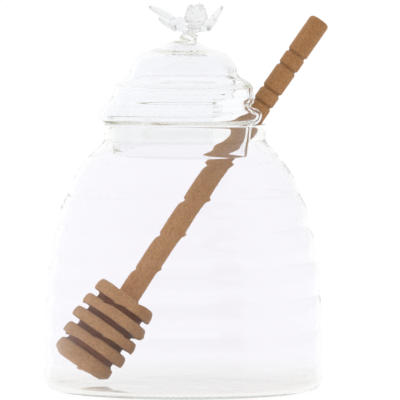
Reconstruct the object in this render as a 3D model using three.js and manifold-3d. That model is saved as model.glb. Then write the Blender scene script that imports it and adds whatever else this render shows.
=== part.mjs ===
// A clear glass honey pot in the shape of a beehive, with its glass lid and its wooden dipper.
// Millimetres, +Z up. The origin is the middle of the foot, and the dipper leans towards +X.

import * as THREE from "three";
import { mergeVertices, toCreasedNormals } from "three/addons/utils/BufferGeometryUtils.js";
import Module from "manifold-3d";

const wasm = await Module();
wasm.setup();

const degrees = THREE.MathUtils.degToRad;

// Pot
const HIVE_RADIUS = 52.2;
const HIVE_CLOSES_AT = 107; // height at which the hive's curve would reach the axis
const HIVE_POWER = 3.3;
const RIB_PITCH = 12.55;
const FIRST_CREASE = 10.7;
const WHOLE_RIBS = 6;
const RIB_DEPTH = 0.8;
const POT_WALL = 2.2;
const POT_FLOOR = 2;
const FOOT_ROUND = 5;
const FLOOR_ROUND = 3;
const SHOULDER_HANDLE = { in: 1.7, up: 2.6 }; // pull of the shoulder's curve at the last crease
const NECK_HANDLE = { outside: 2.2, inside: 3.2 }; // pull of the same curve under the neck
const NECK_RADIUS = 30.3;
const NECK_BORE = 29.1;
const NECK_STARTS_AT = 94.2;
const NECK_SHIFT = 0.5; // the blown neck stands a little off the middle, towards +X
const LIP_RADIUS = 30.6;
const LIP_STARTS_UP = 1.2;
const RIM_HEIGHT = 99.8;

// Lid: stations on its outside from the collar to the button, each a radius, a height and the heading
// there in degrees (0 outward, 90 up)
const LID_WALL = 1.7;
const CROWN_WALL = 2.6; // thickness in the middle of the button
const CROWN_SHARE = 0.97;
const COLLAR_BOTTOM = [26.1, 86.8, 81];
const COLLAR_TOP = [27.7, 97.6, 84];
const FLANGE_UNDERSIDE = [29.2, 100.1, 0];
const FLANGE_BELLY = [31.75, 103.6, 90];
const FLANGE_SLOPE = [29.4, 107.2, 137];
const STEP_FOOT = [26.95, 110.4, 92];
const STEP_SHOULDER = [26.5, 113, 93];
const STEP_TOP = [23.4, 115.85, 154];
const DOME_FOOT = [20.1, 119.9, 91];
const DOME_SHOULDER = [18.3, 124, 126];
const DOME_TOP = [12.2, 127.5, 163];
const BUTTON_SLOPE = [7.4, 129.35, 151];
const BUTTON_EDGE = [4.3, 130.85, 160];
const BUTTON_TOP = [0, 131, 180];
const HEADING_REACH = 0.38; // pull of a station's heading, as a share of the way to the next one

// Notch in the lid for the dipper: a slot in the collar and the flange, and an upright cut above them
const SLOT_AZIMUTH = degrees(19.5); // from +X towards +Y
const SLOT_HALF_ANGLE = degrees(45.5);
const FLANGE_HALF_ANGLE = degrees(41.9);
const NOTCH_AZIMUTH = degrees(13.5);
const NOTCH_CHORD = 23; // distance of the upright cut from the axis
const NOTCH_TURNED_AT = 112; // height from which the cut has the notch's azimuth
const NOTCH_TOP = 118;
const NOTCH_REACH = 45;
const BAY_CHORD = 18.8; // the notch is wider in a low bay above the flange
const BAY_HEIGHT = 106.3;
const BAY_HALF_HEIGHT = 1.2;

// Bee on the lid's button, upright: round lumps, a stack of rings, a foot, a strap and wings
const BEE_LUMPS = [
  { middle: [4.7, 0.2, 141.4], half: [3.9, 3.5, 2.9] },
  { middle: [2.9, -0.4, 142.5], half: [1.7, 2.2, 1.75] },
  { middle: [6, -0.4, 142.8], half: [1.75, 2.2, 1.85] },
  { middle: [4.7, 0.3, 139.6], half: [4.4, 3.9, 2.4] },
  { middle: [-3.6, 0.2, 137.6], half: [1.9, 1.7, 1.8] },
  { middle: [-1.3, -0.5, 138], half: [1.9, 1.9, 1.7] },
  { middle: [-3.1, -0.5, 135.7], half: [1.8, 1.7, 1.5] },
  { middle: [-0.9, -0.6, 135.9], half: [1.9, 1.9, 1.7] },
  { middle: [8.4, -0.3, 137.7], half: [1.6, 1.8, 1.7] },
  { middle: [9.2, 0.1, 135.7], half: [1.5, 1.6, 1.4] },
  { middle: [7.3, -0.5, 135.3], half: [1.5, 1.7, 1.4] },
];
const BEE_RINGS = 4;
const RING_TOP = [4.5, 0, 137.9];
const RING_STEP = [-0.45, 0, -1.75];
const RING_HALF = [3.75, 3.5, 1.15];
const RING_TAPER = 0.11;
const BEE_FOOT = { low: [1.5, 0, 130.4], lowRadius: 3.7, high: [2.6, 0, 133.4], highRadius: 2.7 };
const BEE_STRAP = { low: [0.9, -2.7, 133], lowRadius: 0.75, high: [4.9, -2.9, 131], highRadius: 0.75 };
const BEE_WINGS = [
  { root: [-2.2, 0.6, 138.2], tip: [-13.1, 2.4, 143.8], half: 3.1 },
  { root: [-3.2, 1.6, 135], tip: [-9.4, 4, 139.5], half: 2.5 },
  { root: [8.6, 0.6, 135.4], tip: [14.7, 2.4, 143.9], half: 3.1 },
  { root: [8.6, 1.8, 134.8], tip: [12.4, 4.6, 139.3], half: 2.5 },
];
const WING_HALF_THICKNESS = 0.9;
const WING_TWIST = 0.36; // turn of each wing's blade about its own length

// Dipper, measured along its own axis from its lower end
const LEAN_AZIMUTH = degrees(10.9); // from +X towards +Y
const DIPPER_LEAN = degrees(35.5); // from upright
const DIPPER_FOOT = [-38.94, -9.11, 9.23]; // middle of its lower end
const DIPPER_LENGTH = 158.5;
const DISC_COUNT = 5;
const DISC_PITCH = 6.36;
const DISC_THICKNESS = 4.26;
const DISC_RADIUS = 13.5;
const DISC_BARREL = 0.4; // radius lost with the square of the number of discs from the widest place
const WIDEST_DISC = 2.2; // counted from the lowest disc
const DISC_ROUND = 0.8; // radius lost at a disc's upper edge
const DISC_STRAIGHT_SHARE = 0.6; // share of a disc's thickness below its rounded edge
const CORE_RADIUS = 9.6;
const END_RADIUS = 8.8;
const END_CHAMFER = 1.8;
const HEAD_CROWN = 0.4;
const SHAFT_RADIUS = 4.05;
const GROOVE_DEPTH = 0.65;
const GROOVE_WIDTH = 1.5;
const GROOVES_FROM_TOP = [15.95, 22.05, 32.55, 38.35]; // middles of the turned grooves on the grip
const TOP_ROUND = 1.5;

const RING_SIDES = 32;
const TURNED_SIDES = 24;
const CURVE_STEPS = 4;
const LUMP_SIDES = 9;
const LUMP_RINGS = 6;
const MERGE_DISTANCE = 1e-3;

const glass = { color: 0xf4f3f8, roughness: 0.05, metalness: 0, transparent: true, opacity: 0.35 };
const wood = { color: 0xa1764f, roughness: 0.6, metalness: 0 };

function point(x, y) {
  return new THREE.Vector2(x, y);
}

function turned(profile, sides) {
  return new THREE.LatheGeometry(profile, sides).rotateX(Math.PI / 2);
}

function bezier(a, b, c, d, steps = CURVE_STEPS) {
  return new THREE.CubicBezierCurve(a, b, c, d).getPoints(steps);
}

// Part of an ellipse round (x, y), between two angles in quarter turns
function arc(x, y, radiusX, radiusY, from, to, steps = CURVE_STEPS) {
  const turn = Math.PI / 2;
  const curve = new THREE.EllipseCurve(x, y, radiusX, radiusY, from * turn, to * turn, from > to);
  return curve.getPoints(steps);
}

function solidOf(geometry) {
  const bare = geometry.clone();
  bare.deleteAttribute("normal");
  bare.deleteAttribute("uv");
  const merged = mergeVertices(bare, MERGE_DISTANCE);
  const vertProperties = merged.attributes.position.array;
  const triVerts = new Uint32Array(merged.index.array);
  return new wasm.Manifold(new wasm.Mesh({ numProp: 3, vertProperties, triVerts }));
}

function meshOf(name, solid, look) {
  const { vertProperties, triVerts } = solid.getMesh();
  const geometry = new THREE.BufferGeometry();
  geometry.setAttribute("position", new THREE.BufferAttribute(vertProperties, 3));
  geometry.setIndex(new THREE.BufferAttribute(triVerts, 1));
  const mesh = new THREE.Mesh(toCreasedNormals(geometry), new THREE.MeshStandardMaterial(look));
  mesh.name = name;
  return mesh;
}

function joined(solids) {
  return solids.reduce((whole, piece) => whole.add(piece));
}

// Radius of the hive's outside at a height, with its pressed ribs
function hiveRadius(height) {
  const hive = HIVE_RADIUS * Math.sqrt(1 - (height / HIVE_CLOSES_AT) ** HIVE_POWER);
  const wave = Math.abs(Math.sin((Math.PI * (height - FIRST_CREASE)) / RIB_PITCH));
  return hive + RIB_DEPTH * (wave - 2 / Math.PI);
}

function ribbedWall(pointsPerRib, inset) {
  const wall = [];
  for (let i = 0; i <= WHOLE_RIBS * pointsPerRib; i++) {
    const height = FIRST_CREASE + (i * RIB_PITCH) / pointsPerRib;
    wall.push(point(hiveRadius(height) - inset, height));
  }
  return wall;
}

function shoulderPull({ x, y }) {
  return point(x - SHOULDER_HANDLE.in, y + SHOULDER_HANDLE.up);
}

// Moves the neck off the middle, and the shoulder under it by less and less
function withNeckShifted(pot, from) {
  const at = pot.attributes.position;
  for (let i = 0; i < at.count; i++) {
    const share = THREE.MathUtils.smoothstep(at.getZ(i), from, NECK_STARTS_AT);
    at.setX(i, at.getX(i) + share * NECK_SHIFT);
  }
  return pot;
}

function potSolid() {
  const outside = ribbedWall(4, 0);
  const inside = ribbedWall(3, POT_WALL);
  const shoulder = outside.at(-1);
  const innerShoulder = inside.at(-1);
  const foot = hiveRadius(FOOT_ROUND);
  const corner = hiveRadius(POT_FLOOR + FLOOR_ROUND) - POT_WALL;
  const lipMiddle = (LIP_RADIUS + NECK_BORE) / 2;
  const lipRound = (LIP_RADIUS - NECK_BORE) / 2;
  const profile = [
    point(0, 0),
    ...arc(foot - FOOT_ROUND, FOOT_ROUND, FOOT_ROUND, FOOT_ROUND, -1, 0),
    ...outside,
    ...bezier(
      shoulder,
      shoulderPull(shoulder),
      point(NECK_RADIUS, NECK_STARTS_AT - NECK_HANDLE.outside),
      point(NECK_RADIUS, NECK_STARTS_AT),
    ).slice(1),
    point(NECK_RADIUS, NECK_STARTS_AT + LIP_STARTS_UP),
    ...arc(lipMiddle, RIM_HEIGHT - lipRound, lipRound, lipRound, 0, 2),
    ...bezier(
      point(NECK_BORE, NECK_STARTS_AT),
      point(NECK_BORE, NECK_STARTS_AT - NECK_HANDLE.inside),
      shoulderPull(innerShoulder),
      innerShoulder,
    ),
    ...inside.reverse().slice(1),
    ...arc(corner - FLOOR_ROUND, POT_FLOOR + FLOOR_ROUND, FLOOR_ROUND, FLOOR_ROUND, 0, -1, 3),
    point(0, POT_FLOOR),
  ];
  return solidOf(withNeckShifted(turned(profile, RING_SIDES), shoulder.y));
}

// The curve from one station to the next, without its first point
function headingCurve([x, y, heading], [toX, toY, toHeading], steps) {
  const reach = HEADING_REACH * Math.hypot(toX - x, toY - y);
  const leave = point(Math.cos(degrees(heading)), Math.sin(degrees(heading)));
  const arrive = point(Math.cos(degrees(toHeading)), Math.sin(degrees(toHeading)));
  const start = point(x, y);
  const end = point(toX, toY);
  const out = start.clone().addScaledVector(leave, reach);
  const back = end.clone().addScaledVector(arrive, -reach);
  return bezier(start, out, back, end, steps).slice(1);
}

function lidOutside() {
  const bottom = point(COLLAR_BOTTOM[0], COLLAR_BOTTOM[1] + LID_WALL / 2);
  return [
    bottom,
    ...headingCurve(COLLAR_BOTTOM, COLLAR_TOP, 2),
    ...headingCurve(COLLAR_TOP, FLANGE_UNDERSIDE, 3),
    ...headingCurve(FLANGE_UNDERSIDE, FLANGE_BELLY, 4),
    ...headingCurve(FLANGE_BELLY, FLANGE_SLOPE, 3),
    ...headingCurve(FLANGE_SLOPE, STEP_FOOT, 3),
    ...headingCurve(STEP_FOOT, STEP_SHOULDER, 1),
    ...headingCurve(STEP_SHOULDER, STEP_TOP, 4),
    ...headingCurve(STEP_TOP, DOME_FOOT, 4),
    ...headingCurve(DOME_FOOT, DOME_SHOULDER, 2),
    ...headingCurve(DOME_SHOULDER, DOME_TOP, 3),
    ...headingCurve(DOME_TOP, BUTTON_SLOPE, 2),
    ...headingCurve(BUTTON_SLOPE, BUTTON_EDGE, 2),
    ...headingCurve(BUTTON_EDGE, BUTTON_TOP, 1),
  ];
}

// The place on the lid's inside that lies behind a place on its outside
function lidBehind(here, i, outside) {
  if (here.y > DOME_TOP[1]) {
    const thick = THREE.MathUtils.lerp(CROWN_WALL, LID_WALL, here.x / DOME_TOP[0]);
    return point(here.x * CROWN_SHARE, here.y - thick);
  }
  const before = outside[Math.max(i - 1, 0)];
  const along = outside[i + 1].clone().sub(before).normalize();
  return point(here.x - LID_WALL * along.y, here.y + LID_WALL * along.x);
}

function lidShell() {
  const outside = lidOutside();
  const inside = outside.map(lidBehind);
  inside[0].y = outside[0].y;
  const rim = outside[0].clone().lerp(inside[0], 0.5);
  const rimRound = outside[0].x - rim.x;
  const bottom = arc(rim.x, rim.y, rimRound, rimRound, 2, 4);
  return solidOf(turned([...inside.reverse(), ...bottom, ...outside.slice(1)], RING_SIDES));
}

// Corners of a wedge of space at a height, from the axis outwards
function wedge(height, azimuth, halfAngle) {
  const reach = NOTCH_REACH / Math.cos(halfAngle);
  const corners = [-halfAngle, halfAngle].map((side) => [
    reach * Math.cos(azimuth + side),
    reach * Math.sin(azimuth + side),
    height,
  ]);
  return [[0, 0, height], ...corners];
}

// Corners of a strip of space at a height, that begins at a distance from the axis
function strip(height, azimuth, chord) {
  const corners = [];
  for (const x of [chord, NOTCH_REACH]) {
    for (const y of [-NOTCH_REACH, NOTCH_REACH]) {
      const place = point(x, y).rotateAround(point(0, 0), azimuth);
      corners.push([place.x, place.y, height]);
    }
  }
  return corners;
}

function bayCutter() {
  const end = BAY_CHORD + BAY_HALF_HEIGHT;
  const outline = new THREE.Shape();
  outline.moveTo(NOTCH_REACH, BAY_HALF_HEIGHT);
  outline.absarc(end, 0, BAY_HALF_HEIGHT, Math.PI / 2, (3 * Math.PI) / 2);
  outline.lineTo(NOTCH_REACH, -BAY_HALF_HEIGHT);
  const options = { depth: 2 * NOTCH_REACH, bevelEnabled: false, curveSegments: 3 };
  const bay = new THREE.ExtrudeGeometry(outline, options);
  bay.rotateX(Math.PI / 2).translate(0, NOTCH_REACH, BAY_HEIGHT);
  return solidOf(bay.rotateZ((SLOT_AZIMUTH + NOTCH_AZIMUTH) / 2));
}

function notchCutter() {
  const belly = FLANGE_BELLY[1];
  const hull = wasm.Manifold.hull;
  const slot = hull([
    ...wedge(COLLAR_BOTTOM[1] - 1, SLOT_AZIMUTH, SLOT_HALF_ANGLE),
    ...wedge(COLLAR_TOP[1], SLOT_AZIMUTH, SLOT_HALF_ANGLE),
  ]);
  const opening = hull([
    ...wedge(COLLAR_TOP[1], SLOT_AZIMUTH, SLOT_HALF_ANGLE),
    ...wedge(belly, SLOT_AZIMUTH, FLANGE_HALF_ANGLE),
  ]);
  const twist = hull([
    ...strip(belly, SLOT_AZIMUTH, NOTCH_CHORD),
    ...strip(NOTCH_TURNED_AT, NOTCH_AZIMUTH, NOTCH_CHORD),
  ]);
  const top = hull([
    ...strip(NOTCH_TURNED_AT, NOTCH_AZIMUTH, NOTCH_CHORD),
    ...strip(NOTCH_TOP, NOTCH_AZIMUTH, NOTCH_CHORD),
  ]);
  return joined([slot, opening, twist, top, bayCutter()]);
}

function lump({ middle, half }) {
  return new THREE.SphereGeometry(1, LUMP_SIDES, LUMP_RINGS).scale(...half).translate(...middle);
}

function beeRing(i) {
  const keep = 1 - RING_TAPER * i;
  const middle = RING_TOP.map((place, axis) => place + i * RING_STEP[axis]);
  return lump({ middle, half: RING_HALF.map((size) => size * keep) });
}

// A round bar between two places, with a radius at each
function bar({ low, lowRadius, high, highRadius }) {
  const from = new THREE.Vector3(...low);
  const to = new THREE.Vector3(...high);
  const along = to.clone().sub(from);
  const piece = new THREE.CylinderGeometry(highRadius, lowRadius, along.length(), LUMP_SIDES);
  const up = new THREE.Vector3(0, 1, 0);
  piece.applyQuaternion(new THREE.Quaternion().setFromUnitVectors(up, along.normalize()));
  return piece.translate(...from.add(to).multiplyScalar(0.5));
}

function beeWing({ root, tip, half }) {
  const from = new THREE.Vector3(...root);
  const to = new THREE.Vector3(...tip);
  const along = to.clone().sub(from);
  const reach = along.length() / 2;
  along.normalize();
  const back = new THREE.Vector3(0, 1, 0).projectOnPlane(along).normalize();
  const across = back.applyAxisAngle(along, Math.sign(along.x) * WING_TWIST);
  const thick = across.clone().cross(along);
  const wing = new THREE.SphereGeometry(1, LUMP_SIDES, LUMP_RINGS).scale(WING_HALF_THICKNESS, half, reach);
  wing.applyMatrix4(new THREE.Matrix4().makeBasis(thick, across, along));
  return wing.translate(...from.add(to).multiplyScalar(0.5));
}

function beeSolid() {
  const rings = Array.from({ length: BEE_RINGS }, (_, i) => beeRing(i));
  const body = [...BEE_LUMPS.map(lump), ...rings, bar(BEE_FOOT), bar(BEE_STRAP)];
  return joined([...body, ...BEE_WINGS.map(beeWing)].map(solidOf));
}

function lidSolid() {
  return lidShell().subtract(notchCutter()).add(beeSolid());
}

function dipperSolid() {
  const profile = [point(0, 0), point(END_RADIUS, 0)];
  let height = END_CHAMFER;
  let radius = END_RADIUS;
  for (let i = 0; i < DISC_COUNT; i++) {
    radius = DISC_RADIUS - DISC_BARREL * (i - WIDEST_DISC) ** 2;
    if (i > 0) profile.push(point(CORE_RADIUS, height));
    profile.push(point(radius, height), point(radius, height + DISC_STRAIGHT_SHARE * DISC_THICKNESS));
    profile.push(point(radius - DISC_ROUND, height + DISC_THICKNESS));
    if (i < DISC_COUNT - 1) profile.push(point(CORE_RADIUS, height + DISC_THICKNESS));
    height += DISC_PITCH;
  }
  const crown = height - DISC_PITCH + DISC_THICKNESS + HEAD_CROWN;
  profile.push(point(radius - DISC_ROUND - HEAD_CROWN, crown), point(SHAFT_RADIUS, crown));
  for (const fromTop of GROOVES_FROM_TOP.toReversed()) {
    const groove = DIPPER_LENGTH - fromTop;
    profile.push(point(SHAFT_RADIUS, groove - GROOVE_WIDTH / 2));
    profile.push(point(SHAFT_RADIUS - GROOVE_DEPTH, groove - GROOVE_WIDTH / 4));
    profile.push(point(SHAFT_RADIUS - GROOVE_DEPTH, groove + GROOVE_WIDTH / 4));
    profile.push(point(SHAFT_RADIUS, groove + GROOVE_WIDTH / 2));
  }
  profile.push(...arc(SHAFT_RADIUS - TOP_ROUND, DIPPER_LENGTH - TOP_ROUND, TOP_ROUND, TOP_ROUND, 0, 1, 3));
  profile.push(point(0, DIPPER_LENGTH));
  const dipper = turned(profile, TURNED_SIDES);
  dipper.rotateY(DIPPER_LEAN).rotateZ(LEAN_AZIMUTH).translate(...DIPPER_FOOT);
  return solidOf(dipper);
}

const group = new THREE.Group();
group.name = "honey_pot";
group.add(meshOf("pot", potSolid(), glass));
group.add(meshOf("lid", lidSolid(), glass));
group.add(meshOf("dipper", dipperSolid(), wood));

export default group;
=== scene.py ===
"""A clear glass honey pot shaped like a beehive, with its lid and wooden dipper, on a white studio table."""

import math

import bmesh
import bpy
from mathutils import Matrix, Vector, kdtree, noise


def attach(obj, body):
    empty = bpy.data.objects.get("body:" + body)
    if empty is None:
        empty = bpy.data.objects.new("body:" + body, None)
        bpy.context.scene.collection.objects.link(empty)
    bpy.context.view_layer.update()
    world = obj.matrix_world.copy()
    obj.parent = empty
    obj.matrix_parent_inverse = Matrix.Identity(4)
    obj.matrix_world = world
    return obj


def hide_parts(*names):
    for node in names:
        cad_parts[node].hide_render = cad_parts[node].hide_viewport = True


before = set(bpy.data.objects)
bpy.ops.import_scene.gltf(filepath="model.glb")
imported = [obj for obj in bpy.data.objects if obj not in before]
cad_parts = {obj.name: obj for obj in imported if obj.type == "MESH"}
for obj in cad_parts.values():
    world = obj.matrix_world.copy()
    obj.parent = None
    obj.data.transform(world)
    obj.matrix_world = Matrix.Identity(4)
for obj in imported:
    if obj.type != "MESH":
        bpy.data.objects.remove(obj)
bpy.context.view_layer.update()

MM = 0.001

# Pot, in millimetres
HIVE_RADIUS = 52.2
HIVE_CLOSES_AT = 107.0
HIVE_POWER = 3.3
RIB_PITCH = 12.55
FIRST_CREASE = 10.7
WHOLE_RIBS = 6
RIB_DEPTH = 0.8
RIB_SOFTNESS = 0.008
POT_WALL = 2.2
POT_FLOOR = 2.0
FOOT_ROUND = 5.0
FLOOR_ROUND = 3.0
NECK_RADIUS = 30.3
NECK_BORE = 29.1
NECK_STARTS_AT = 94.2
NECK_SHIFT = 0.5
LIP_RADIUS = 30.6
RIM_HEIGHT = 99.8
SHOULDER_PULL = (-1.7, 2.6)
NECK_PULL = 2.2
LIP_PULL = 2.0
BORE_PULL = 3.2
POT_ROW_GAP = 0.55
FLOOR_ROW_GAP = 1.5

# Lid: stations on its outside, each a radius, a height and the heading there (0 outward, 90 up)
LID_WALL = 1.7
COLLAR_BOTTOM = (26.1, 86.8, 81)
COLLAR_TOP = (27.7, 97.6, 84)
FLANGE_UNDERSIDE = (29.2, 100.1, 0)
FLANGE_BELLY = (31.75, 103.6, 90)
FLANGE_SLOPE = (29.4, 107.2, 132)
STEP_FOOT = (26.95, 110.4, 92)
STEP_SHOULDER = (26.5, 113.0, 93)
STEP_TOP = (23.4, 115.85, 154)
DOME_FOOT = (20.1, 119.9, 91)
DOME_SHOULDER = (18.3, 124.0, 126)
DOME_TOP = (12.2, 127.5, 163)
BUTTON_SLOPE = (7.4, 129.35, 151)
BUTTON_EDGE = (4.3, 130.85, 160)
BUTTON_TOP = (0, 131.0, 180)
CROWN_WALL = 2.6
CROWN_SHARE = 0.97
STATION_PULL = 0.38

# Notch for the dipper: a flat upright cut that goes on as a slot from the flange's belly down
SLOT_AZIMUTH = math.radians(19.5)
SLOT_HALF_ANGLE = math.radians(45.5)
NOTCH_AZIMUTH = math.radians(13.5)
NOTCH_CHORD = 23.0
NOTCH_SHOULDER = 112.0
NOTCH_BAY = math.radians(11)
BAY_HEIGHT = 106.3
BAY_REACH = 1.1
RIM_ROUND = 0.9
RIM_BEAD = 0.3
BEAD_REACH = 1.2

# Bee on the lid's button, upright; a lump is a middle and half sizes
BEE_LUMPS = (
    ((4.7, 0.2, 141.4), (3.9, 3.5, 2.9)),
    ((2.9, -0.4, 142.5), (1.7, 2.2, 1.75)),
    ((6.0, -0.4, 142.8), (1.75, 2.2, 1.85)),
    ((4.7, 0.3, 139.6), (4.4, 3.9, 2.4)),
    ((-3.6, 0.2, 137.6), (1.9, 1.7, 1.8)),
    ((-1.3, -0.5, 138.0), (1.9, 1.9, 1.7)),
    ((-3.1, -0.5, 135.7), (1.8, 1.7, 1.5)),
    ((-0.9, -0.6, 135.9), (1.9, 1.9, 1.7)),
    ((8.4, -0.3, 137.7), (1.6, 1.8, 1.7)),
    ((9.2, 0.1, 135.7), (1.5, 1.6, 1.4)),
    ((7.3, -0.5, 135.3), (1.5, 1.7, 1.4)),
)
BEE_RINGS = 4
RING_TOP = (4.5, 0.0, 137.9)
RING_STEP = (-0.45, 0.0, -1.75)
RING_HALF = (3.75, 3.5, 1.15)
RING_TAPER = 0.11
BEE_FOOT = ((1.5, 0.0, 130.4), 3.7, (2.6, 0.0, 133.4), 2.7)
BEE_STRAP = ((0.9, -2.7, 133.0), (4.9, -2.9, 131.0), 0.75)
BEE_WINGS = (
    ((-2.2, 0.6, 138.2), (-13.1, 2.4, 143.8), 3.1),
    ((-3.2, 1.6, 135.0), (-9.4, 4.0, 139.5), 2.5),
    ((8.6, 0.6, 135.4), (14.7, 2.4, 143.9), 3.1),
    ((8.6, 1.8, 134.8), (12.4, 4.6, 139.3), 2.5),
)
WING_HALF_THICKNESS = 0.9
WING_TWIST = 0.36
FUR_FROM = 139.2
FUR_FADE = 0.8
FUR_SIDES = (0.2, 9.0)
FUR_DEPTH = 0.3
FUR_SCALE = 0.85
BEE_VOXEL = 0.2

# Dipper, measured along its own axis from its lower end
LEAN_AZIMUTH = math.radians(10.9)
DIPPER_LEAN = math.radians(35.5)
DIPPER_FOOT = (-38.94, -9.11, 9.23)
DIPPER_LENGTH = 158.5
DISC_COUNT = 5
DISC_PITCH = 6.36
DISC_THICKNESS = 4.26
DISC_RADIUS = 13.5
DISC_BARREL = 0.4
DISC_ROUND = 0.8
ROUND_FROM = 0.8
WIDEST_DISC = 2.2
CORE_RADIUS = 9.6
END_RADIUS = 8.8
END_CHAMFER = 1.8
HEAD_CROWN = 0.4
SHAFT_RADIUS = 4.05
GROOVE_DEPTH = 0.65
GROOVE_WIDTH = 1.5
GROOVES_FROM_TOP = (15.95, 22.05, 32.55, 38.35)
TOP_ROUND = 1.5
DIPPER_ROW_GAP = 0.35
DIPPER_PLACE = (
    Matrix.Translation([place * MM for place in DIPPER_FOOT])
    @ Matrix.Rotation(LEAN_AZIMUTH, 4, "Z")
    @ Matrix.Rotation(DIPPER_LEAN, 4, "Y")
)


# Outlines

def bezier(a, b, c, d, steps):
    points = []
    for i in range(steps + 1):
        t = i / steps
        w = ((1 - t) ** 3, 3 * t * (1 - t) ** 2, 3 * t * t * (1 - t), t ** 3)
        points.append(tuple(sum(k * p[n] for k, p in zip(w, (a, b, c, d))) for n in (0, 1)))
    return points


def arc(x, y, radius_x, radius_y, start, end, steps):
    """Points on an ellipse, with the angles in quarter turns."""
    turns = [math.pi / 2 * (start + (end - start) * i / steps) for i in range(steps + 1)]
    return [(x + radius_x * math.cos(t), y + radius_y * math.sin(t)) for t in turns]


def between(a, b, share):
    return tuple(p + share * (q - p) for p, q in zip(a, b))


def spaced(points, gap):
    """The same outline with points about one gap apart, its corners kept."""
    result = [points[0]]
    for a, b in zip(points, points[1:]):
        length = math.dist(a, b)
        if length < 1e-9:
            continue
        count = max(1, round(length / gap))
        result += [between(a, b, i / count) for i in range(1, count + 1)]
    return result


def evened(points, gap):
    """The same outline with points one gap apart all along it."""
    lengths = [0.0]
    for a, b in zip(points, points[1:]):
        lengths.append(lengths[-1] + math.dist(a, b))
    count = round(lengths[-1] / gap)
    result, k = [], 0
    for i in range(count + 1):
        want = lengths[-1] * i / count
        while k < len(points) - 2 and lengths[k + 1] < want:
            k += 1
        share = (want - lengths[k]) / (lengths[k + 1] - lengths[k])
        result.append(between(points[k], points[k + 1], share))
    return result


def softened(points, passes):
    """Rounds an outline's corners and keeps its ends."""
    for _ in range(passes):
        middle = [
            tuple(0.25 * a[n] + 0.5 * b[n] + 0.25 * c[n] for n in (0, 1))
            for a, b, c in zip(points, points[1:], points[2:])
        ]
        points = [points[0], *middle, points[-1]]
    return points


# Geometry Nodes: a shell turned round Z, with pressed ribs

def nodes_of(tree):
    def add(kind, *inputs, **settings):
        node = tree.nodes.new(kind)
        for key, value in settings.items():
            setattr(node, key, value)
        for i, value in enumerate(inputs):
            if value is None:
                continue
            if isinstance(value, bpy.types.NodeSocket):
                tree.links.new(value, node.inputs[i])
            else:
                node.inputs[i].default_value = value
        return node

    return add


def group_of(name, kind, inputs, outputs):
    tree = bpy.data.node_groups.new(name, kind)
    for label, socket in inputs:
        tree.interface.new_socket(label, in_out="INPUT", socket_type=socket)
    for label, socket in outputs:
        tree.interface.new_socket(label, in_out="OUTPUT", socket_type=socket)
    return tree, nodes_of(tree)


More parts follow.
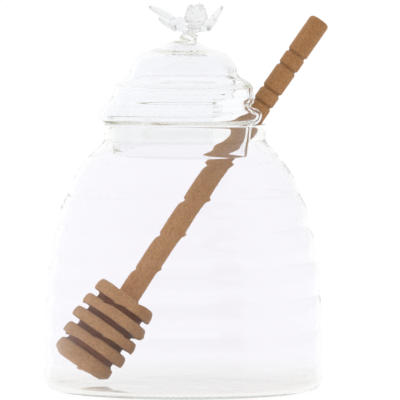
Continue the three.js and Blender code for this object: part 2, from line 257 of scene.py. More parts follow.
def turned_shell_tree():
    tree, add = group_of(
        "turned_shell",
        "GeometryNodeTree",
        (
            ("Geometry", "NodeSocketGeometry"),
            ("Sides", "NodeSocketInt"),
            ("Rib Pitch", "NodeSocketFloat"),
            ("Rib Depth", "NodeSocketFloat"),
            ("First Crease", "NodeSocketFloat"),
            ("Shift From", "NodeSocketFloat"),
            ("Shift To", "NodeSocketFloat"),
            ("Shift", "NodeSocketFloat"),
            ("Wobble", "NodeSocketFloat"),
            ("Wobble Scale", "NodeSocketFloat"),
            ("Material", "NodeSocketMaterial"),
        ),
        (("Geometry", "NodeSocketGeometry"),),
    )

    def math_node(operation, a, b=None, c=None):
        return add("ShaderNodeMath", a, b, c, operation=operation).outputs[0]

    given = add("NodeGroupInput").outputs
    outline = given["Geometry"]
    rows = add("GeometryNodeAttributeDomainSize", outline).outputs["Point Count"]
    columns = math_node("ADD", given["Sides"], 1.0)
    grid = add("GeometryNodeMeshGrid", 1.0, 1.0, columns, rows).outputs["Mesh"]
    index = add("GeometryNodeInputIndex").outputs[0]
    row = math_node("FLOORED_MODULO", index, rows)
    column = math_node("FLOOR", math_node("DIVIDE", math_node("ADD", index, 0.5), rows))

    place = add("GeometryNodeSampleIndex", data_type="FLOAT_VECTOR", domain="POINT")
    tree.links.new(outline, place.inputs["Geometry"])
    tree.links.new(add("GeometryNodeInputPosition").outputs[0], place.inputs["Value"])
    tree.links.new(row, place.inputs["Index"])
    share = add("GeometryNodeSampleIndex", data_type="FLOAT", domain="POINT")
    rib_share = add("GeometryNodeInputNamedAttribute", "rib_share", data_type="FLOAT")
    tree.links.new(outline, share.inputs["Geometry"])
    tree.links.new(rib_share.outputs["Attribute"], share.inputs["Value"])
    tree.links.new(row, share.inputs["Index"])
    radius, _, height = add("ShaderNodeSeparateXYZ", place.outputs[0]).outputs

    # each rib swells between two creases
    phase = math_node("DIVIDE", math_node("SUBTRACT", height, given["First Crease"]), given["Rib Pitch"])
    wave = math_node("SINE", math_node("MULTIPLY", phase, math.pi))
    swell = math_node("SQRT", math_node("MULTIPLY_ADD", wave, wave, RIB_SOFTNESS))
    swell = math_node("SUBTRACT", swell, 2 / math.pi)
    rib = math_node("MULTIPLY", math_node("MULTIPLY", swell, given["Rib Depth"]), share.outputs[0])
    ribbed = math_node("ADD", radius, rib)

    angle = math_node("MULTIPLY", math_node("DIVIDE", column, given["Sides"]), 2 * math.pi)
    lean = add("ShaderNodeMapRange", height, given["Shift From"], given["Shift To"], 0.0, given["Shift"])
    lean.interpolation_type = "SMOOTHSTEP"
    x = math_node("MULTIPLY_ADD", ribbed, math_node("COSINE", angle), lean.outputs[0])
    y = math_node("MULTIPLY", ribbed, math_node("SINE", angle))
    at = add("ShaderNodeCombineXYZ", x, y, height).outputs[0]
    shell = add("GeometryNodeSetPosition", grid, True, at).outputs[0]
    shell = add("GeometryNodeMergeByDistance", shell, True).outputs[0]
    shell.node.inputs["Distance"].default_value = 1e-6

    # hand-blown glass and turned wood are never quite even
    uneven = add("ShaderNodeTexNoise", noise_dimensions="3D")
    tree.links.new(given["Wobble Scale"], uneven.inputs["Scale"])
    uneven.inputs["Detail"].default_value = 1.0
    push = math_node("MULTIPLY", math_node("SUBTRACT", uneven.outputs["Fac"], 0.5), given["Wobble"])
    normal = add("GeometryNodeInputNormal").outputs[0]
    offset = add("ShaderNodeVectorMath", normal, operation="SCALE")
    tree.links.new(push, offset.inputs["Scale"])
    shell = add("GeometryNodeSetPosition", shell, True, None, offset.outputs[0]).outputs[0]
    shell = add("GeometryNodeSetShadeSmooth", shell).outputs[0]
    shell = add("GeometryNodeRealizeInstances", shell).outputs[0]
    shell = add("GeometryNodeSetMaterial", shell, True, given["Material"]).outputs[0]
    add("NodeGroupOutput", shell)
    return tree


def stacked_rings_tree():
    """Rounded rings in a leaning stack, each smaller than the one above."""
    tree, add = group_of(
        "stacked_rings",
        "GeometryNodeTree",
        (
            ("Geometry", "NodeSocketGeometry"),
            ("Count", "NodeSocketInt"),
            ("Top", "NodeSocketVector"),
            ("Step", "NodeSocketVector"),
            ("Half Size", "NodeSocketVector"),
            ("Taper", "NodeSocketFloat"),
            ("Material", "NodeSocketMaterial"),
        ),
        (("Geometry", "NodeSocketGeometry"),),
    )
    given = add("NodeGroupInput").outputs
    line = add("GeometryNodeMeshLine", mode="OFFSET")
    tree.links.new(given["Count"], line.inputs["Count"])
    tree.links.new(given["Top"], line.inputs["Start Location"])
    tree.links.new(given["Step"], line.inputs["Offset"])
    ring = add("GeometryNodeMeshUVSphere", 32, 16, 1.0).outputs["Mesh"]
    index = add("GeometryNodeInputIndex").outputs[0]
    less = add("ShaderNodeMath", index, given["Taper"], operation="MULTIPLY").outputs[0]
    keep = add("ShaderNodeMath", 1.0, less, operation="SUBTRACT").outputs[0]
    scale = add("ShaderNodeVectorMath", given["Half Size"], operation="SCALE")
    tree.links.new(keep, scale.inputs["Scale"])
    stack = add("GeometryNodeInstanceOnPoints", line.outputs[0], True, ring)
    tree.links.new(scale.outputs[0], stack.inputs["Scale"])
    rings = add("GeometryNodeRealizeInstances", stack.outputs[0]).outputs[0]
    rings = add("GeometryNodeSetMaterial", rings, True, given["Material"]).outputs[0]
    add("NodeGroupOutput", rings)
    return tree


TURNED = turned_shell_tree()
STACKED = stacked_rings_tree()


def new_piece(name, mesh):
    piece = bpy.data.objects.new(name, mesh)
    bpy.context.scene.collection.objects.link(piece)
    return piece


def outline_object(name, outline, rib_shares=None):
    mesh = bpy.data.meshes.new(name)
    places = [(radius * MM, 0, height * MM) for radius, height in outline]
    mesh.from_pydata(places, [(i, i + 1) for i in range(len(outline) - 1)], [])
    shares = mesh.attributes.new("rib_share", "FLOAT", "POINT")
    shares.data.foreach_set("value", rib_shares or [0.0] * len(outline))
    return new_piece(name, mesh)


def grow(piece, tree, values):
    """Gives a piece a node tree's shape, with its named inputs."""
    modifier = piece.modifiers.new(tree.name, "NODES")
    modifier.node_group = tree
    for item in tree.interface.items_tree:
        if item.in_out == "INPUT" and item.name in values:
            modifier[item.identifier] = values[item.name]


def made_plain(piece, matrix=None):
    """Turns a piece's modifiers into a plain mesh, with its place in the mesh."""
    graph = bpy.context.evaluated_depsgraph_get()
    mesh = bpy.data.meshes.new_from_object(piece.evaluated_get(graph))
    piece.modifiers.clear()
    old = piece.data
    piece.data = mesh
    bpy.data.meshes.remove(old)
    mesh.name = piece.name
    if "rib_share" in mesh.attributes:
        mesh.attributes.remove(mesh.attributes["rib_share"])
    if matrix:
        mesh.transform(matrix)
    close_up(mesh)
    return piece


def close_up(mesh):
    """Merges a mesh's doubles and turns its faces outwards."""
    work = bmesh.new()
    work.from_mesh(mesh)
    bmesh.ops.remove_doubles(work, verts=work.verts, dist=2e-6)
    bmesh.ops.dissolve_degenerate(work, edges=work.edges, dist=1e-7)
    bmesh.ops.recalc_face_normals(work, faces=work.faces)
    if work.calc_volume(signed=True) < 0:
        bmesh.ops.reverse_faces(work, faces=work.faces)
    work.to_mesh(mesh)
    work.free()
    mesh.shade_smooth()


# Materials

def material_of(name):
    material = bpy.data.materials.new(name)
    material.use_nodes = True
    tree = material.node_tree
    tree.nodes.clear()
    add = nodes_of(tree)
    output = add("ShaderNodeOutputMaterial")
    surface = add("ShaderNodeBsdfPrincipled")
    tree.links.new(surface.outputs[0], output.inputs["Surface"])
    return material, tree, add, surface


def glass_cords_group():
    """Faint level streaks and clouds of tint, as blown glass has."""
    tree, add = group_of(
        "glass_cords",
        "ShaderNodeTree",
        (
            ("Vector", "NodeSocketVector"),
            ("Streak Scale", "NodeSocketFloat"),
            ("Clear Tint", "NodeSocketColor"),
            ("Deep Tint", "NodeSocketColor"),
        ),
        (("Color", "NodeSocketColor"), ("Height", "NodeSocketFloat")),
    )
    given = add("NodeGroupInput").outputs
    level = add("ShaderNodeVectorMath", given["Vector"], (1.0, 1.0, 7.0), operation="MULTIPLY").outputs[0]
    streaks = add("ShaderNodeTexNoise", level)
    tree.links.new(given["Streak Scale"], streaks.inputs["Scale"])
    streaks.inputs["Detail"].default_value = 2.0
    clouds = add("ShaderNodeTexNoise", given["Vector"])
    clouds.inputs["Scale"].default_value = 28.0
    clouds.inputs["Detail"].default_value = 2.0
    tint = add("ShaderNodeMix", data_type="RGBA")
    tree.links.new(clouds.outputs["Fac"], tint.inputs["Factor"])
    tree.links.new(given["Clear Tint"], tint.inputs[6])
    tree.links.new(given["Deep Tint"], tint.inputs[7])
    out = add("NodeGroupOutput")
    tree.links.new(tint.outputs[2], out.inputs["Color"])
    tree.links.new(streaks.outputs["Fac"], out.inputs["Height"])
    return tree


CORDS = glass_cords_group()
DENT_SCALE = 700.0

# parts of the glass: the height where each begins, the height where it is full, its tint and its dents
BEE_PART = (BUTTON_TOP[1] + 1.5, BUTTON_TOP[1] + 3.5, (0.88, 0.884, 0.905), 9.0)
HEEL_PART = (9.0, 4.0, (0.925, 0.921, 0.910), 0.0)
NECK_PART = (88.0, 94.0, (0.978, 0.983, 0.972), 0.0)


def glass_material(name, streak_scale, clear_tint, deep_tint, shine, soaked, density, parts):
    """Clear glass with level streaks, and with parts that have a tint and dents of their own."""
    material, tree, add, surface = material_of(name)
    surface.inputs["Roughness"].default_value = 0.0
    surface.inputs["IOR"].default_value = 1.47
    surface.inputs["Transmission Weight"].default_value = 1.0
    coords = add("ShaderNodeTexCoord").outputs["Object"]
    cords = add("ShaderNodeGroup", node_tree=CORDS)
    tree.links.new(coords, cords.inputs["Vector"])
    cords.inputs["Streak Scale"].default_value = streak_scale
    cords.inputs["Clear Tint"].default_value = (*clear_tint, 1)
    cords.inputs["Deep Tint"].default_value = (*deep_tint, 1)
    dents = add("ShaderNodeTexNoise", coords)
    dents.inputs["Scale"].default_value = DENT_SCALE
    dents.inputs["Detail"].default_value = 1.0
    up = add("ShaderNodeSeparateXYZ", coords).outputs[2]
    colour, height = cords.outputs["Color"], cords.outputs["Height"]
    for none_at, full_at, part_tint, dent_depth in parts:
        here = add("ShaderNodeMapRange", up, none_at * MM, full_at * MM).outputs[0]
        tint = add("ShaderNodeMix", data_type="RGBA")
        tree.links.new(here, tint.inputs["Factor"])
        tree.links.new(colour, tint.inputs[6])
        tint.inputs[7].default_value = (*part_tint, 1)
        colour = tint.outputs[2]
        deep = add("ShaderNodeMath", here, dent_depth, operation="MULTIPLY").outputs[0]
        dented = add("ShaderNodeMath", dents.outputs["Fac"], deep, height, operation="MULTIPLY_ADD")
        height = dented.outputs[0]
    tree.links.new(colour, surface.inputs["Base Color"])
    bump = add("ShaderNodeBump")
    bump.inputs["Strength"].default_value = 0.02
    bump.inputs["Distance"].default_value = 0.001
    tree.links.new(height, bump.inputs["Height"])
    tree.links.new(bump.outputs[0], surface.inputs["Normal"])
    surface.inputs["Specular Tint"].default_value = (shine, shine, shine, 1)
    absorb = add("ShaderNodeVolumeAbsorption")
    absorb.inputs["Color"].default_value = (*soaked, 1)
    absorb.inputs["Density"].default_value = density
    output = surface.outputs[0].links[0].to_node
    tree.links.new(absorb.outputs[0], output.inputs["Volume"])
    return material


# painted shade: from this height the wood is painted darker towards the top of the handle
SHADE_ALONG_FROM = 40.0
# painted shade in the grooves between the head's discs
GROOVE_SHADE = (0.43, 0.24, 0.08, 1)
GROOVE_SHADE_EDGE = (-0.1, 0.2)
# painted shade in the grip's fine grooves
GRIP_SHADE = (0.25, 0.20, 0.17, 1)
GRIP_SHADE_SHARE = 0.4
GRIP_SHADE_FROM = 0.1


def wood_material():
    """Turned wood, with painted shade: paler at its head and darker towards the grip, darker on its right
    side, and dark in its grooves.
    """
    material, tree, add, surface = material_of("turned_beech")
    coords = add("ShaderNodeTexCoord").outputs["Object"]
    along = add("ShaderNodeMapping", coords, vector_type="TEXTURE")
    along.inputs["Location"].default_value = DIPPER_PLACE.to_translation()
    along.inputs["Rotation"].default_value = DIPPER_PLACE.to_euler()

    def grain(stretch, scale, detail):
        drawn = add("ShaderNodeVectorMath", along.outputs[0], (1.0, 1.0, stretch), operation="MULTIPLY")
        texture = add("ShaderNodeTexNoise", drawn.outputs[0])
        texture.inputs["Scale"].default_value = scale
        texture.inputs["Detail"].default_value = detail
        return texture.outputs["Fac"]

    def ramp(value, stops):
        node = add("ShaderNodeValToRGB", value)
        while len(node.color_ramp.elements) < len(stops):
            node.color_ramp.elements.new(0.5)
        for element, (position, colour) in zip(node.color_ramp.elements, stops):
            element.position = position
            element.color = (*colour, 1)
        return node.outputs[0]

    def mixed(factor, a, b, blend):
        node = add("ShaderNodeMix", data_type="RGBA", blend_type=blend)
        for socket, value in ((0, factor), (6, a), (7, b)):
            if isinstance(value, bpy.types.NodeSocket):
                tree.links.new(value, node.inputs[socket])
            else:
                node.inputs[socket].default_value = value
        return node.outputs[2]

    streaks = grain(0.12, 300.0, 3.0)
    pores = grain(0.7, 2000.0, 1.0)
    patches = grain(0.5, 60.0, 2.0)
    tone = ramp(streaks, ((0.25, (0.90, 0.475, 0.205)), (0.75, (1.0, 0.590, 0.285))))
    flecks = ramp(pores, ((0.36, (0.77, 0.70, 0.63)), (0.64, (1.0, 1.0, 1.0))))
    cloud = ramp(patches, ((0.3, (0.91, 0.90, 0.88)), (0.7, (1.0, 1.0, 1.0))))
    x, y, height = add("ShaderNodeSeparateXYZ", along.outputs[0]).outputs
    # painted shade: the wood is painted darker along the handle towards its top end
    toward_grip = add("ShaderNodeMapRange", height, SHADE_ALONG_FROM * MM, DIPPER_LENGTH * MM).outputs[0]
    shade_along = ramp(
        toward_grip,
        (
            (0.0, (1.0, 1.0, 1.0)),
            (0.55, (0.90, 0.885, 0.86)),
            (0.66, (0.68, 0.625, 0.555)),
            (1.0, (0.565, 0.50, 0.42)),
        ),
    )
    colour = mixed(1.0, mixed(1.0, tone, cloud, "MULTIPLY"), shade_along, "MULTIPLY")
    colour = mixed(1.0, colour, flecks, "MULTIPLY")
    # painted light and shade: the wood is painted paler on its left side and darker on its right, as if lit
    # from the left
    across = add("ShaderNodeMapRange", x, -DISC_RADIUS * MM, DISC_RADIUS * MM).outputs[0]
    side = ramp(across, ((0.0, (1.0, 1.0, 1.0)), (0.5, (0.86, 0.83, 0.80)), (1.0, (0.44, 0.37, 0.29))))
    colour = mixed(1.0, colour, side, "MULTIPLY")

    def worked(operation, *values):
        return add("ShaderNodeMath", *values, operation=operation).outputs[0]

    def between_heights(low, high):
        over = worked("GREATER_THAN", height, low * MM)
        under = worked("LESS_THAN", height, high * MM)
        return worked("MULTIPLY", over, under)

    def darkened(share, by):
        return mixed(share, colour, mixed(1.0, colour, by, "MULTIPLY"), "MIX")

    # painted shade: the grooves between the discs, and a little of the disc faces beside them, are painted
    # dark by their height
    half_gap = (DISC_PITCH - DISC_THICKNESS) / 2
    groove = END_CHAMFER + DISC_THICKNESS + half_gap
    from_groove = worked("PINGPONG", worked("SUBTRACT", height, groove * MM), DISC_PITCH / 2 * MM)
    inner, outer = ((half_gap + edge) * MM for edge in GROOVE_SHADE_EDGE)
    groove_shade = add("ShaderNodeMapRange", from_groove, inner, outer, 1.0, 0.0).outputs[0]
    top_disc = END_CHAMFER + (DISC_COUNT - 1) * DISC_PITCH
    in_head = between_heights(END_CHAMFER + DISC_THICKNESS / 2, top_disc + DISC_THICKNESS / 2)
    colour = darkened(worked("MULTIPLY", groove_shade, in_head), GROOVE_SHADE)

    # painted shade: the fine grooves of the grip are painted dark by their depth
    radius = worked("SQRT", worked("ADD", worked("MULTIPLY", x, x), worked("MULTIPLY", y, y)))
    deepest, shallow = (SHAFT_RADIUS - GROOVE_DEPTH) * MM, (SHAFT_RADIUS - GRIP_SHADE_FROM) * MM
    grip_shade = add("ShaderNodeMapRange", radius, deepest, shallow, GRIP_SHADE_SHARE, 0.0).outputs[0]
    in_grip = between_heights(DIPPER_LENGTH / 2, DIPPER_LENGTH - 2 * TOP_ROUND)
    colour = darkened(worked("MULTIPLY", grip_shade, in_grip), GRIP_SHADE)

    tree.links.new(colour, surface.inputs["Base Color"])
    surface.inputs["Sheen Weight"].default_value = 0.6
    surface.inputs["Sheen Roughness"].default_value = 0.4
    surface.inputs["Sheen Tint"].default_value = (1.0, 0.76, 0.54, 1)
    rough = add("ShaderNodeMapRange", pores)
    rough.inputs["To Min"].default_value = 0.72
    rough.inputs["To Max"].default_value = 0.52
    tree.links.new(rough.outputs[0], surface.inputs["Roughness"])
    surface.inputs["Specular IOR Level"].default_value = 0.35
    relief = add("ShaderNodeMath", streaks, pores, operation="ADD")
    bump = add("ShaderNodeBump")
    bump.inputs["Strength"].default_value = 0.25
    bump.inputs["Distance"].default_value = 0.0003
    tree.links.new(relief.outputs[0], bump.inputs["Height"])
    tree.links.new(bump.outputs[0], surface.inputs["Normal"])
    return material


POT_GLASS = glass_material(
    "clear_pot_glass", 55.0, (0.966, 0.958, 0.982), (0.954, 0.946, 0.972), 0.52, (0.85, 0.86, 0.83), 10.0,
    (HEEL_PART, NECK_PART),
)
LID_GLASS = glass_material(
    "clear_lid_glass", 80.0, (0.967, 0.970, 0.990), (0.954, 0.957, 0.984), 0.6, (0.70, 0.715, 0.54), 16.0,
    (BEE_PART,),
)
WOOD = wood_material()


# Pot

def hive_radius(height):
    return HIVE_RADIUS * math.sqrt(1 - (height / HIVE_CLOSES_AT) ** HIVE_POWER)


def rib_swell(height):
    wave = math.sin(math.pi * (height - FIRST_CREASE) / RIB_PITCH)
    return RIB_DEPTH * (math.sqrt(wave * wave + RIB_SOFTNESS) - 2 / math.pi)


def make_pot():
    top_crease = FIRST_CREASE + WHOLE_RIBS * RIB_PITCH
    shoulder = (hive_radius(top_crease) + rib_swell(top_crease), top_crease)
    inner_shoulder = (shoulder[0] - POT_WALL, top_crease)
    outline, shares = [], []

    def follow(points, share=0.0):
        outline.extend(points)
        shares.extend([share] * len(points))

    foot = hive_radius(FOOT_ROUND) + rib_swell(FOOT_ROUND)
    follow(spaced([(0, 0), (foot - FOOT_ROUND, 0)], FLOOR_ROW_GAP))
    follow(arc(foot - FOOT_ROUND, FOOT_ROUND, FOOT_ROUND, FOOT_ROUND, -1, 0, 12)[1:])
    steps = round((top_crease - FOOT_ROUND) / POT_ROW_GAP)
    heights = [FOOT_ROUND + (top_crease - FOOT_ROUND) * i / steps for i in range(1, steps)]
    follow([(hive_radius(z), z) for z in heights], 1.0)
    neck = bezier(
        shoulder,
        (shoulder[0] + SHOULDER_PULL[0], shoulder[1] + SHOULDER_PULL[1]),
        (NECK_RADIUS, NECK_STARTS_AT - NECK_PULL),
        (NECK_RADIUS, NECK_STARTS_AT),
        16,
    )
    follow(neck)
    lip_middle, lip_round = (LIP_RADIUS + NECK_BORE) / 2, (LIP_RADIUS - NECK_BORE) / 2
    rise = bezier(
        (NECK_RADIUS, NECK_STARTS_AT),
        (NECK_RADIUS, NECK_STARTS_AT + LIP_PULL),
        (LIP_RADIUS, RIM_HEIGHT - lip_round - LIP_PULL),
        (LIP_RADIUS, RIM_HEIGHT - lip_round),
        8,
    )
    follow(rise[1:])
    follow(arc(lip_middle, RIM_HEIGHT - lip_round, lip_round, lip_round, 0, 2, 14)[1:])
    follow(spaced([(NECK_BORE, RIM_HEIGHT - lip_round), (NECK_BORE, NECK_STARTS_AT)], POT_ROW_GAP)[1:])
    inner_neck = bezier(
        (NECK_BORE, NECK_STARTS_AT),
        (NECK_BORE, NECK_STARTS_AT - BORE_PULL),
        (inner_shoulder[0] + SHOULDER_PULL[0], inner_shoulder[1] + SHOULDER_PULL[1]),
        inner_shoulder,
        16,
    )
    follow(inner_neck[1:])
    corner_at = POT_FLOOR + FLOOR_ROUND
    steps = round((top_crease - corner_at) / POT_ROW_GAP)
    heights = [top_crease - (top_crease - corner_at) * i / steps for i in range(1, steps)]
    follow([(hive_radius(z) - POT_WALL, z) for z in heights], 1.0)
    corner = hive_radius(corner_at) - POT_WALL + rib_swell(corner_at)
    follow(arc(corner - FLOOR_ROUND, corner_at, FLOOR_ROUND, FLOOR_ROUND, 0, -1, 14))
    follow(spaced([(corner - FLOOR_ROUND, POT_FLOOR), (0, POT_FLOOR)], FLOOR_ROW_GAP)[1:])
    piece = outline_object("pot_glass", outline, shares)
    grow(
        piece,
        TURNED,
        {
            "Sides": 160,
            "Rib Pitch": RIB_PITCH * MM,
            "Rib Depth": RIB_DEPTH * MM,
            "First Crease": FIRST_CREASE * MM,
            "Shift From": top_crease * MM,
            "Shift To": NECK_STARTS_AT * MM,
            "Shift": NECK_SHIFT * MM,
            "Wobble": 0.00012,
            "Wobble Scale": 38.0,
            "Material": POT_GLASS,
        },
    )
    return made_plain(piece)


# Lid: a wall of glass on a grid that follows the notch's edge, and thins to a round rim there

ROW_GAP = 0.45
COLUMNS = 120
FAN_COLUMNS = 36
RIM_STEPS = 6
RIM_FIRST_STEP = 0.15
RIM_STEP_GROWTH = 1.3
LEAST_ANGLE = 0.002
LEAST_RING = 4.0


def heading_curve(start, end, steps):
    """The curve from one station to the next, without its first point."""
    reach = STATION_PULL * math.dist(start[:2], end[:2])
    leave, arrive = math.radians(start[2]), math.radians(end[2])
    out = (start[0] + reach * math.cos(leave), start[1] + reach * math.sin(leave))
    back = (end[0] - reach * math.cos(arrive), end[1] - reach * math.sin(arrive))
    return bezier(start[:2], out, back, end[:2], steps)[1:]


class LidWall:
    """The lid's outside and inside as outlines, read at a place in rows from the collar's bottom."""

    def __init__(self):
        stations = (
            COLLAR_BOTTOM, COLLAR_TOP, FLANGE_UNDERSIDE, FLANGE_BELLY, FLANGE_SLOPE, STEP_FOOT, STEP_SHOULDER,
            STEP_TOP, DOME_FOOT, DOME_SHOULDER, DOME_TOP, BUTTON_SLOPE, BUTTON_EDGE, BUTTON_TOP,
        )
        outside = [stations[0][:2]]
        for start, end in zip(stations, stations[1:]):
            outside += heading_curve(start, end, 24)
        self.outside = evened(outside, ROW_GAP)
        self.last = len(self.outside) - 1
        self.inside = softened([self.behind(i) for i in range(self.last + 1)], 3)
        self.belly = max(range(self.last + 1), key=lambda i: self.middle(i)[0])
        self.collar = next(i for i in range(self.last) if self.outside[i][1] > COLLAR_TOP[1])

    def behind(self, i):
        radius, height = self.outside[i]
        if height > DOME_TOP[1]:
            crown = CROWN_WALL + (LID_WALL - CROWN_WALL) * radius / DOME_TOP[0]
            return radius * CROWN_SHARE, height - crown
        before, after = self.outside[max(i - 1, 0)], self.outside[i + 1]
        inward = LID_WALL / math.dist(before, after)
        return radius - inward * (after[1] - before[1]), height + inward * (after[0] - before[0])

    def read(self, side, at):
        k = min(int(at), self.last - 1)
        return between(side[k], side[k + 1], at - k)

    def middle(self, at):
        return between(self.read(self.outside, at), self.read(self.inside, at), 0.5)

    def notch_angle(self, at):
        """Half of the angle that the notch takes out of the ring at this place."""
        radius = self.middle(max(at, self.belly))[0]
        cut = math.acos(min(1.0, NOTCH_CHORD / max(radius, 1e-6)))
        cut += NOTCH_BAY * math.exp(-(((self.middle(at)[1] - BAY_HEIGHT) / BAY_REACH) ** 2))
        down = min(1.0, max(0.0, (self.belly - at) / (self.belly - self.collar)))
        return cut + (SLOT_HALF_ANGLE - cut) * down * down * (3 - 2 * down)

    def first_place(self, test, low):
        """The place from which a test holds, on the way up to the axis."""
        high = float(self.last)
        for _ in range(40):
            half = (low + high) / 2
            low, high = (low, half) if test(half) else (half, high)
        return high


def rim_steps(unit):
    """Distances from a rim, fine first, in the given unit of length."""
    steps = [0.0]
    for i in range(RIM_STEPS):
        steps.append(steps[-1] + RIM_FIRST_STEP * RIM_STEP_GROWTH ** i / unit)
    return steps


def ladder(start, end, count, fine):
    """Places from start to end, fine at the start."""
    begin = start + fine[-1]
    even = [begin + (end - begin) * i / count for i in range(count + 1)]
    return [start + step for step in fine[:-1]] + even


def lid_sheets(wall):
    """Two grids of (angle from the notch, place along the wall): round the lid, and over the notch's arch."""
    fine = rim_steps(ROW_GAP)
    shoulder = wall.first_place(lambda at: wall.middle(at)[1] > NOTCH_SHOULDER, float(wall.belly))
    below = ladder(0.0, shoulder, round(shoulder - fine[-1]), fine)[:-1]
    above = ladder(shoulder, wall.last, round(wall.last - shoulder - fine[-1]), fine)
    wide = wall.notch_angle(shoulder)
    ring = []
    for at in below + above:
        start = wall.notch_angle(at) if at < shoulder else wide
        edge = rim_steps(max(wall.middle(at)[0], LEAST_RING))
        first, last = start + edge[-1], 2 * math.pi - start - edge[-1]
        angles = [start + step for step in edge[:-1]]
        angles += [first + (last - first) * i / COLUMNS for i in range(COLUMNS + 1)]
        angles += [2 * math.pi - start - step for step in reversed(edge[:-1])]
        ring.append([(angle, at) for angle in angles])
    fan = []
    for i in range(FAN_COLUMNS + 1):
        angle = wide * (2 * i / FAN_COLUMNS - 1)
        rise = shoulder
        if 0 < i < FAN_COLUMNS:
            least = max(abs(angle), LEAST_ANGLE)
            rise = wall.first_place(lambda at: wall.notch_angle(at) <= least, shoulder)
        squeeze = (wall.last - rise) / (wall.last - shoulder)
        fan.append([(angle, rise + (at - shoulder) * squeeze) for at in above])
    return ring, fan, len(below)


def make_lid_shell():
    wall = LidWall()
    ring, fan, below = lid_sheets(wall)

    def spot(outline_point, angle):
        radius, height = outline_point
        up = (height - FLANGE_BELLY[1]) / (NOTCH_SHOULDER - FLANGE_BELLY[1])
        turn = angle + SLOT_AZIMUTH + (NOTCH_AZIMUTH - SLOT_AZIMUTH) * min(1.0, max(0.0, up))
        return Vector((radius * math.cos(turn), radius * math.sin(turn), height))

    def middle_spot(node):
        return spot(wall.middle(node[1]), node[0])

    edge = [middle_spot(node) for node in ring[0]]
    edge += [middle_spot(row[k]) for row in ring[: below + 1] for k in (0, -1)]
    edge += [middle_spot(column[0]) for column in fan]
    rim = kdtree.KDTree(len(edge))
    for i, place in enumerate(edge):
        rim.insert(place, i)
    rim.balance()

    verts, faces = [], []
    for sheet in (ring, fan):
        for side in (wall.outside, wall.inside):
            start, width = len(verts), len(sheet[0])
            for row in sheet:
                for node in row:
                    middle = middle_spot(node)
                    away = rim.find(middle)[2]
                    swell = math.sqrt(1 - (1 - min(1.0, away / RIM_ROUND)) ** 2)
                    swell *= 1 + RIM_BEAD * math.exp(-(((away - RIM_ROUND) / BEAD_REACH) ** 2))
                    verts.append(middle.lerp(spot(wall.read(side, node[1]), node[0]), swell) * MM)
            for i in range(len(sheet) - 1):
                for k in range(width - 1):
                    a = start + i * width + k
                    quad = (a, a + 1, a + width + 1, a + width)
                    flip = (side is wall.inside) != (sheet is fan)
                    faces.append(quad[::-1] if flip else quad)
    mesh = bpy.data.meshes.new("lid_glass")
    mesh.from_pydata(verts, [], faces)
    mesh.materials.append(LID_GLASS)
    close_up(mesh)
    return new_piece("lid_glass", mesh)


# Bee: lumps, rings and wings melted together

def add_lump(work, middle, half, matrix=Matrix()):
    place = Matrix.Translation(middle) @ matrix @ Matrix.Diagonal((*half, 1))
    bmesh.ops.create_icosphere(work, subdivisions=4, radius=1.0, matrix=place)


def add_cone(work, low, low_radius, high, high_radius):
    low, high = Vector(low), Vector(high)
    axis = high - low
    place = Matrix.Translation((low + high) / 2) @ axis.to_track_quat("Z", "Y").to_matrix().to_4x4()
    bmesh.ops.create_cone(
        work,
        cap_ends=True,
        segments=40,
        radius1=low_radius,
        radius2=high_radius,
        depth=axis.length,
        matrix=place,
    )


def add_wing(work, root, tip, half_width):
    root, tip = Vector(root), Vector(tip)
    along = (tip - root).normalized()
    back = Vector((0, 1, 0))
    across = (back - along * back.dot(along)).normalized()
    across.rotate(Matrix.Rotation(math.copysign(WING_TWIST, along.x), 3, along))
    turn = Matrix((across.cross(along), across, along)).transposed().to_4x4()
    half = (WING_HALF_THICKNESS, half_width, (tip - root).length / 2)
    add_lump(work, (root + tip) / 2, half, turn)


def make_bee():
    rings = new_piece("bee_rings", bpy.data.meshes.new("bee_rings"))
    sizes = {"Top": RING_TOP, "Step": RING_STEP, "Half Size": RING_HALF}
    grow(rings, STACKED, {"Count": BEE_RINGS, "Taper": RING_TAPER, "Material": LID_GLASS, **sizes})
    made_plain(rings)
    work = bmesh.new()
    work.from_mesh(rings.data)
    bpy.data.objects.remove(rings)
    for middle, half in BEE_LUMPS:
        add_lump(work, middle, half)
    add_cone(work, *BEE_FOOT)
    start, end, radius = BEE_STRAP
    add_cone(work, start, radius, end, radius)
    for root, tip, half_width in BEE_WINGS:
        add_wing(work, root, tip, half_width)
    mesh = bpy.data.meshes.new("bee")
    work.to_mesh(mesh)
    work.free()
    mesh.materials.append(LID_GLASS)
    bee = new_piece("bee", mesh)
    melt = bee.modifiers.new("melt", "REMESH")
    melt.mode = "VOXEL"
    melt.voxel_size = BEE_VOXEL
    soften = bee.modifiers.new("soften", "SMOOTH")
    soften.factor = 0.5
    soften.iterations = 4
    made_plain(bee)
    for vert, normal in zip(bee.data.vertices, [n.vector.copy() for n in bee.data.vertex_normals]):
        if FUR_SIDES[0] < vert.co.x < FUR_SIDES[1]:
            furred = min(1.0, max(0.0, (vert.co.z - FUR_FROM) / FUR_FADE))
            vert.co += normal * (FUR_DEPTH * furred * noise.noise(vert.co / FUR_SCALE))
    bee.data.transform(Matrix.Scale(MM, 4))
    return bee


def make_lid():
    lid, bee = make_lid_shell(), make_bee()
    weld = lid.modifiers.new("weld", "BOOLEAN")
    weld.operation = "UNION"
    weld.solver = "MANIFOLD"
    weld.object = bee
    made_plain(lid)
    bpy.data.objects.remove(bee)
    return lid


# Dipper

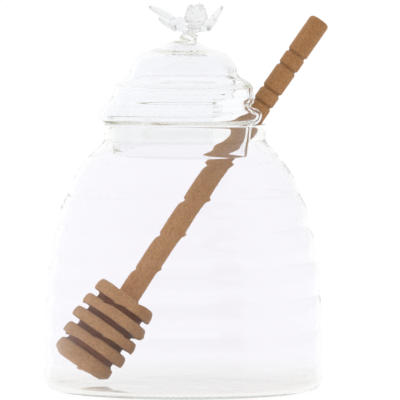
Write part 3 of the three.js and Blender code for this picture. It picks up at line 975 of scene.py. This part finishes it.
def make_dipper():
    outline = [(0, 0), (END_RADIUS, 0)]
    height = END_CHAMFER
    for i in range(DISC_COUNT):
        radius = DISC_RADIUS - DISC_BARREL * (i - WIDEST_DISC) ** 2
        if i > 0:
            outline.append((CORE_RADIUS, height))
        outline += [
            (radius, height),
            (radius, height + DISC_THICKNESS / 2),
            (radius - DISC_ROUND / 3, height + ROUND_FROM * DISC_THICKNESS),
            (radius - DISC_ROUND, height + DISC_THICKNESS),
        ]
        if i < DISC_COUNT - 1:
            outline.append((CORE_RADIUS, height + DISC_THICKNESS))
        height += DISC_PITCH
    crown = height - DISC_PITCH + DISC_THICKNESS + HEAD_CROWN
    outline.append((radius - DISC_ROUND - HEAD_CROWN, crown))
    outline = softened(spaced(outline, DIPPER_ROW_GAP), 2)
    outline.append((SHAFT_RADIUS, crown))
    for from_top in reversed(GROOVES_FROM_TOP):
        groove = DIPPER_LENGTH - from_top
        outline += [
            (SHAFT_RADIUS, groove - GROOVE_WIDTH / 2),
            (SHAFT_RADIUS - GROOVE_DEPTH, groove - GROOVE_WIDTH / 4),
            (SHAFT_RADIUS - GROOVE_DEPTH, groove + GROOVE_WIDTH / 4),
            (SHAFT_RADIUS, groove + GROOVE_WIDTH / 2),
        ]
    outline += arc(SHAFT_RADIUS - TOP_ROUND, DIPPER_LENGTH - TOP_ROUND, TOP_ROUND, TOP_ROUND, 0, 1, 6)
    outline.append((0, DIPPER_LENGTH))
    piece = outline_object("dipper_wood", softened(spaced(outline, DIPPER_ROW_GAP), 1))
    evenness = {"Rib Pitch": 1.0, "Wobble": 0.0001, "Wobble Scale": 90.0}
    grow(piece, TURNED, {"Sides": 72, "Material": WOOD, **evenness})
    return made_plain(piece, DIPPER_PLACE)


pot = make_pot()
lid = make_lid()
dipper = make_dipper()
for piece, node, slot in ((pot, "pot", "glass"), (lid, "lid", "glass"), (dipper, "dipper", "wood")):
    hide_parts(node)
    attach(piece, "root")


# Studio, in metres

TABLE_HALF = 40.0
TABLE_DROP = 0.0002
CAMERA_AIM = Vector((6.15, 0, 71.06)) * MM
CAMERA_DISTANCE = 2.6
CAMERA_ELEVATION = math.radians(3.4)
VIEW_WIDTH = 0.150
SENSOR_WIDTH = 36
LIGHT_BOUNCES = 96


def make_floor():
    mesh = bpy.data.meshes.new("table")
    corners = [(x * TABLE_HALF, y * TABLE_HALF, 0) for x, y in ((-1, -1), (1, -1), (1, 1), (-1, 1))]
    mesh.from_pydata(corners, [], [(0, 1, 2, 3)])
    floor = new_piece("table", mesh)
    material, _, _, surface = material_of("white_table")
    surface.inputs["Base Color"].default_value = (0.06, 0.06, 0.06, 1)
    surface.inputs["Roughness"].default_value = 0.9
    surface.inputs["Specular IOR Level"].default_value = 0.0
    surface.inputs["Emission Color"].default_value = (1, 1, 1, 1)
    surface.inputs["Emission Strength"].default_value = 0.97
    mesh.materials.append(material)
    floor.location.z = -TABLE_DROP


def make_world():
    world = bpy.data.worlds.new("studio")
    world.use_nodes = True
    tree = world.node_tree
    tree.nodes.clear()
    add = nodes_of(tree)
    output = add("ShaderNodeOutputWorld")
    light = add("ShaderNodeBackground", (1, 1, 1, 1))
    direction = add("ShaderNodeTexCoord").outputs["Generated"]
    x, y, _ = add("ShaderNodeSeparateXYZ", direction).outputs
    ramp = add("ShaderNodeMapRange", y)
    ramp.inputs["From Min"].default_value = -1.0
    ramp.inputs["From Max"].default_value = -0.2
    ramp.inputs["To Min"].default_value = 0.52
    ramp.inputs["To Max"].default_value = 1.0
    side = add("ShaderNodeMapRange", x, -1.0, 1.0, 1.1, 0.9)
    both = add("ShaderNodeMath", ramp.outputs[0], side.outputs[0], operation="MULTIPLY")
    tree.links.new(both.outputs[0], light.inputs["Strength"])
    tree.links.new(light.outputs[0], output.inputs[0])
    bpy.context.scene.world = world


def make_camera():
    lens = bpy.data.cameras.new("camera")
    lens.sensor_width = SENSOR_WIDTH
    lens.lens = SENSOR_WIDTH * CAMERA_DISTANCE / VIEW_WIDTH
    lens.clip_end = 50
    camera = new_piece("camera", lens)
    towards = Vector((0, -math.cos(CAMERA_ELEVATION), math.sin(CAMERA_ELEVATION)))
    camera.location = CAMERA_AIM + CAMERA_DISTANCE * towards
    camera.rotation_euler = (-towards).to_track_quat("-Z", "Y").to_euler()
    bpy.context.scene.camera = camera


make_floor()
make_world()
make_camera()
scene = bpy.context.scene
scene.view_settings.view_transform = "Standard"
scene.cycles.max_bounces = LIGHT_BOUNCES
scene.cycles.transmission_bounces = LIGHT_BOUNCES
scene.cycles.glossy_bounces = LIGHT_BOUNCES
scene.cycles.diffuse_bounces = 4
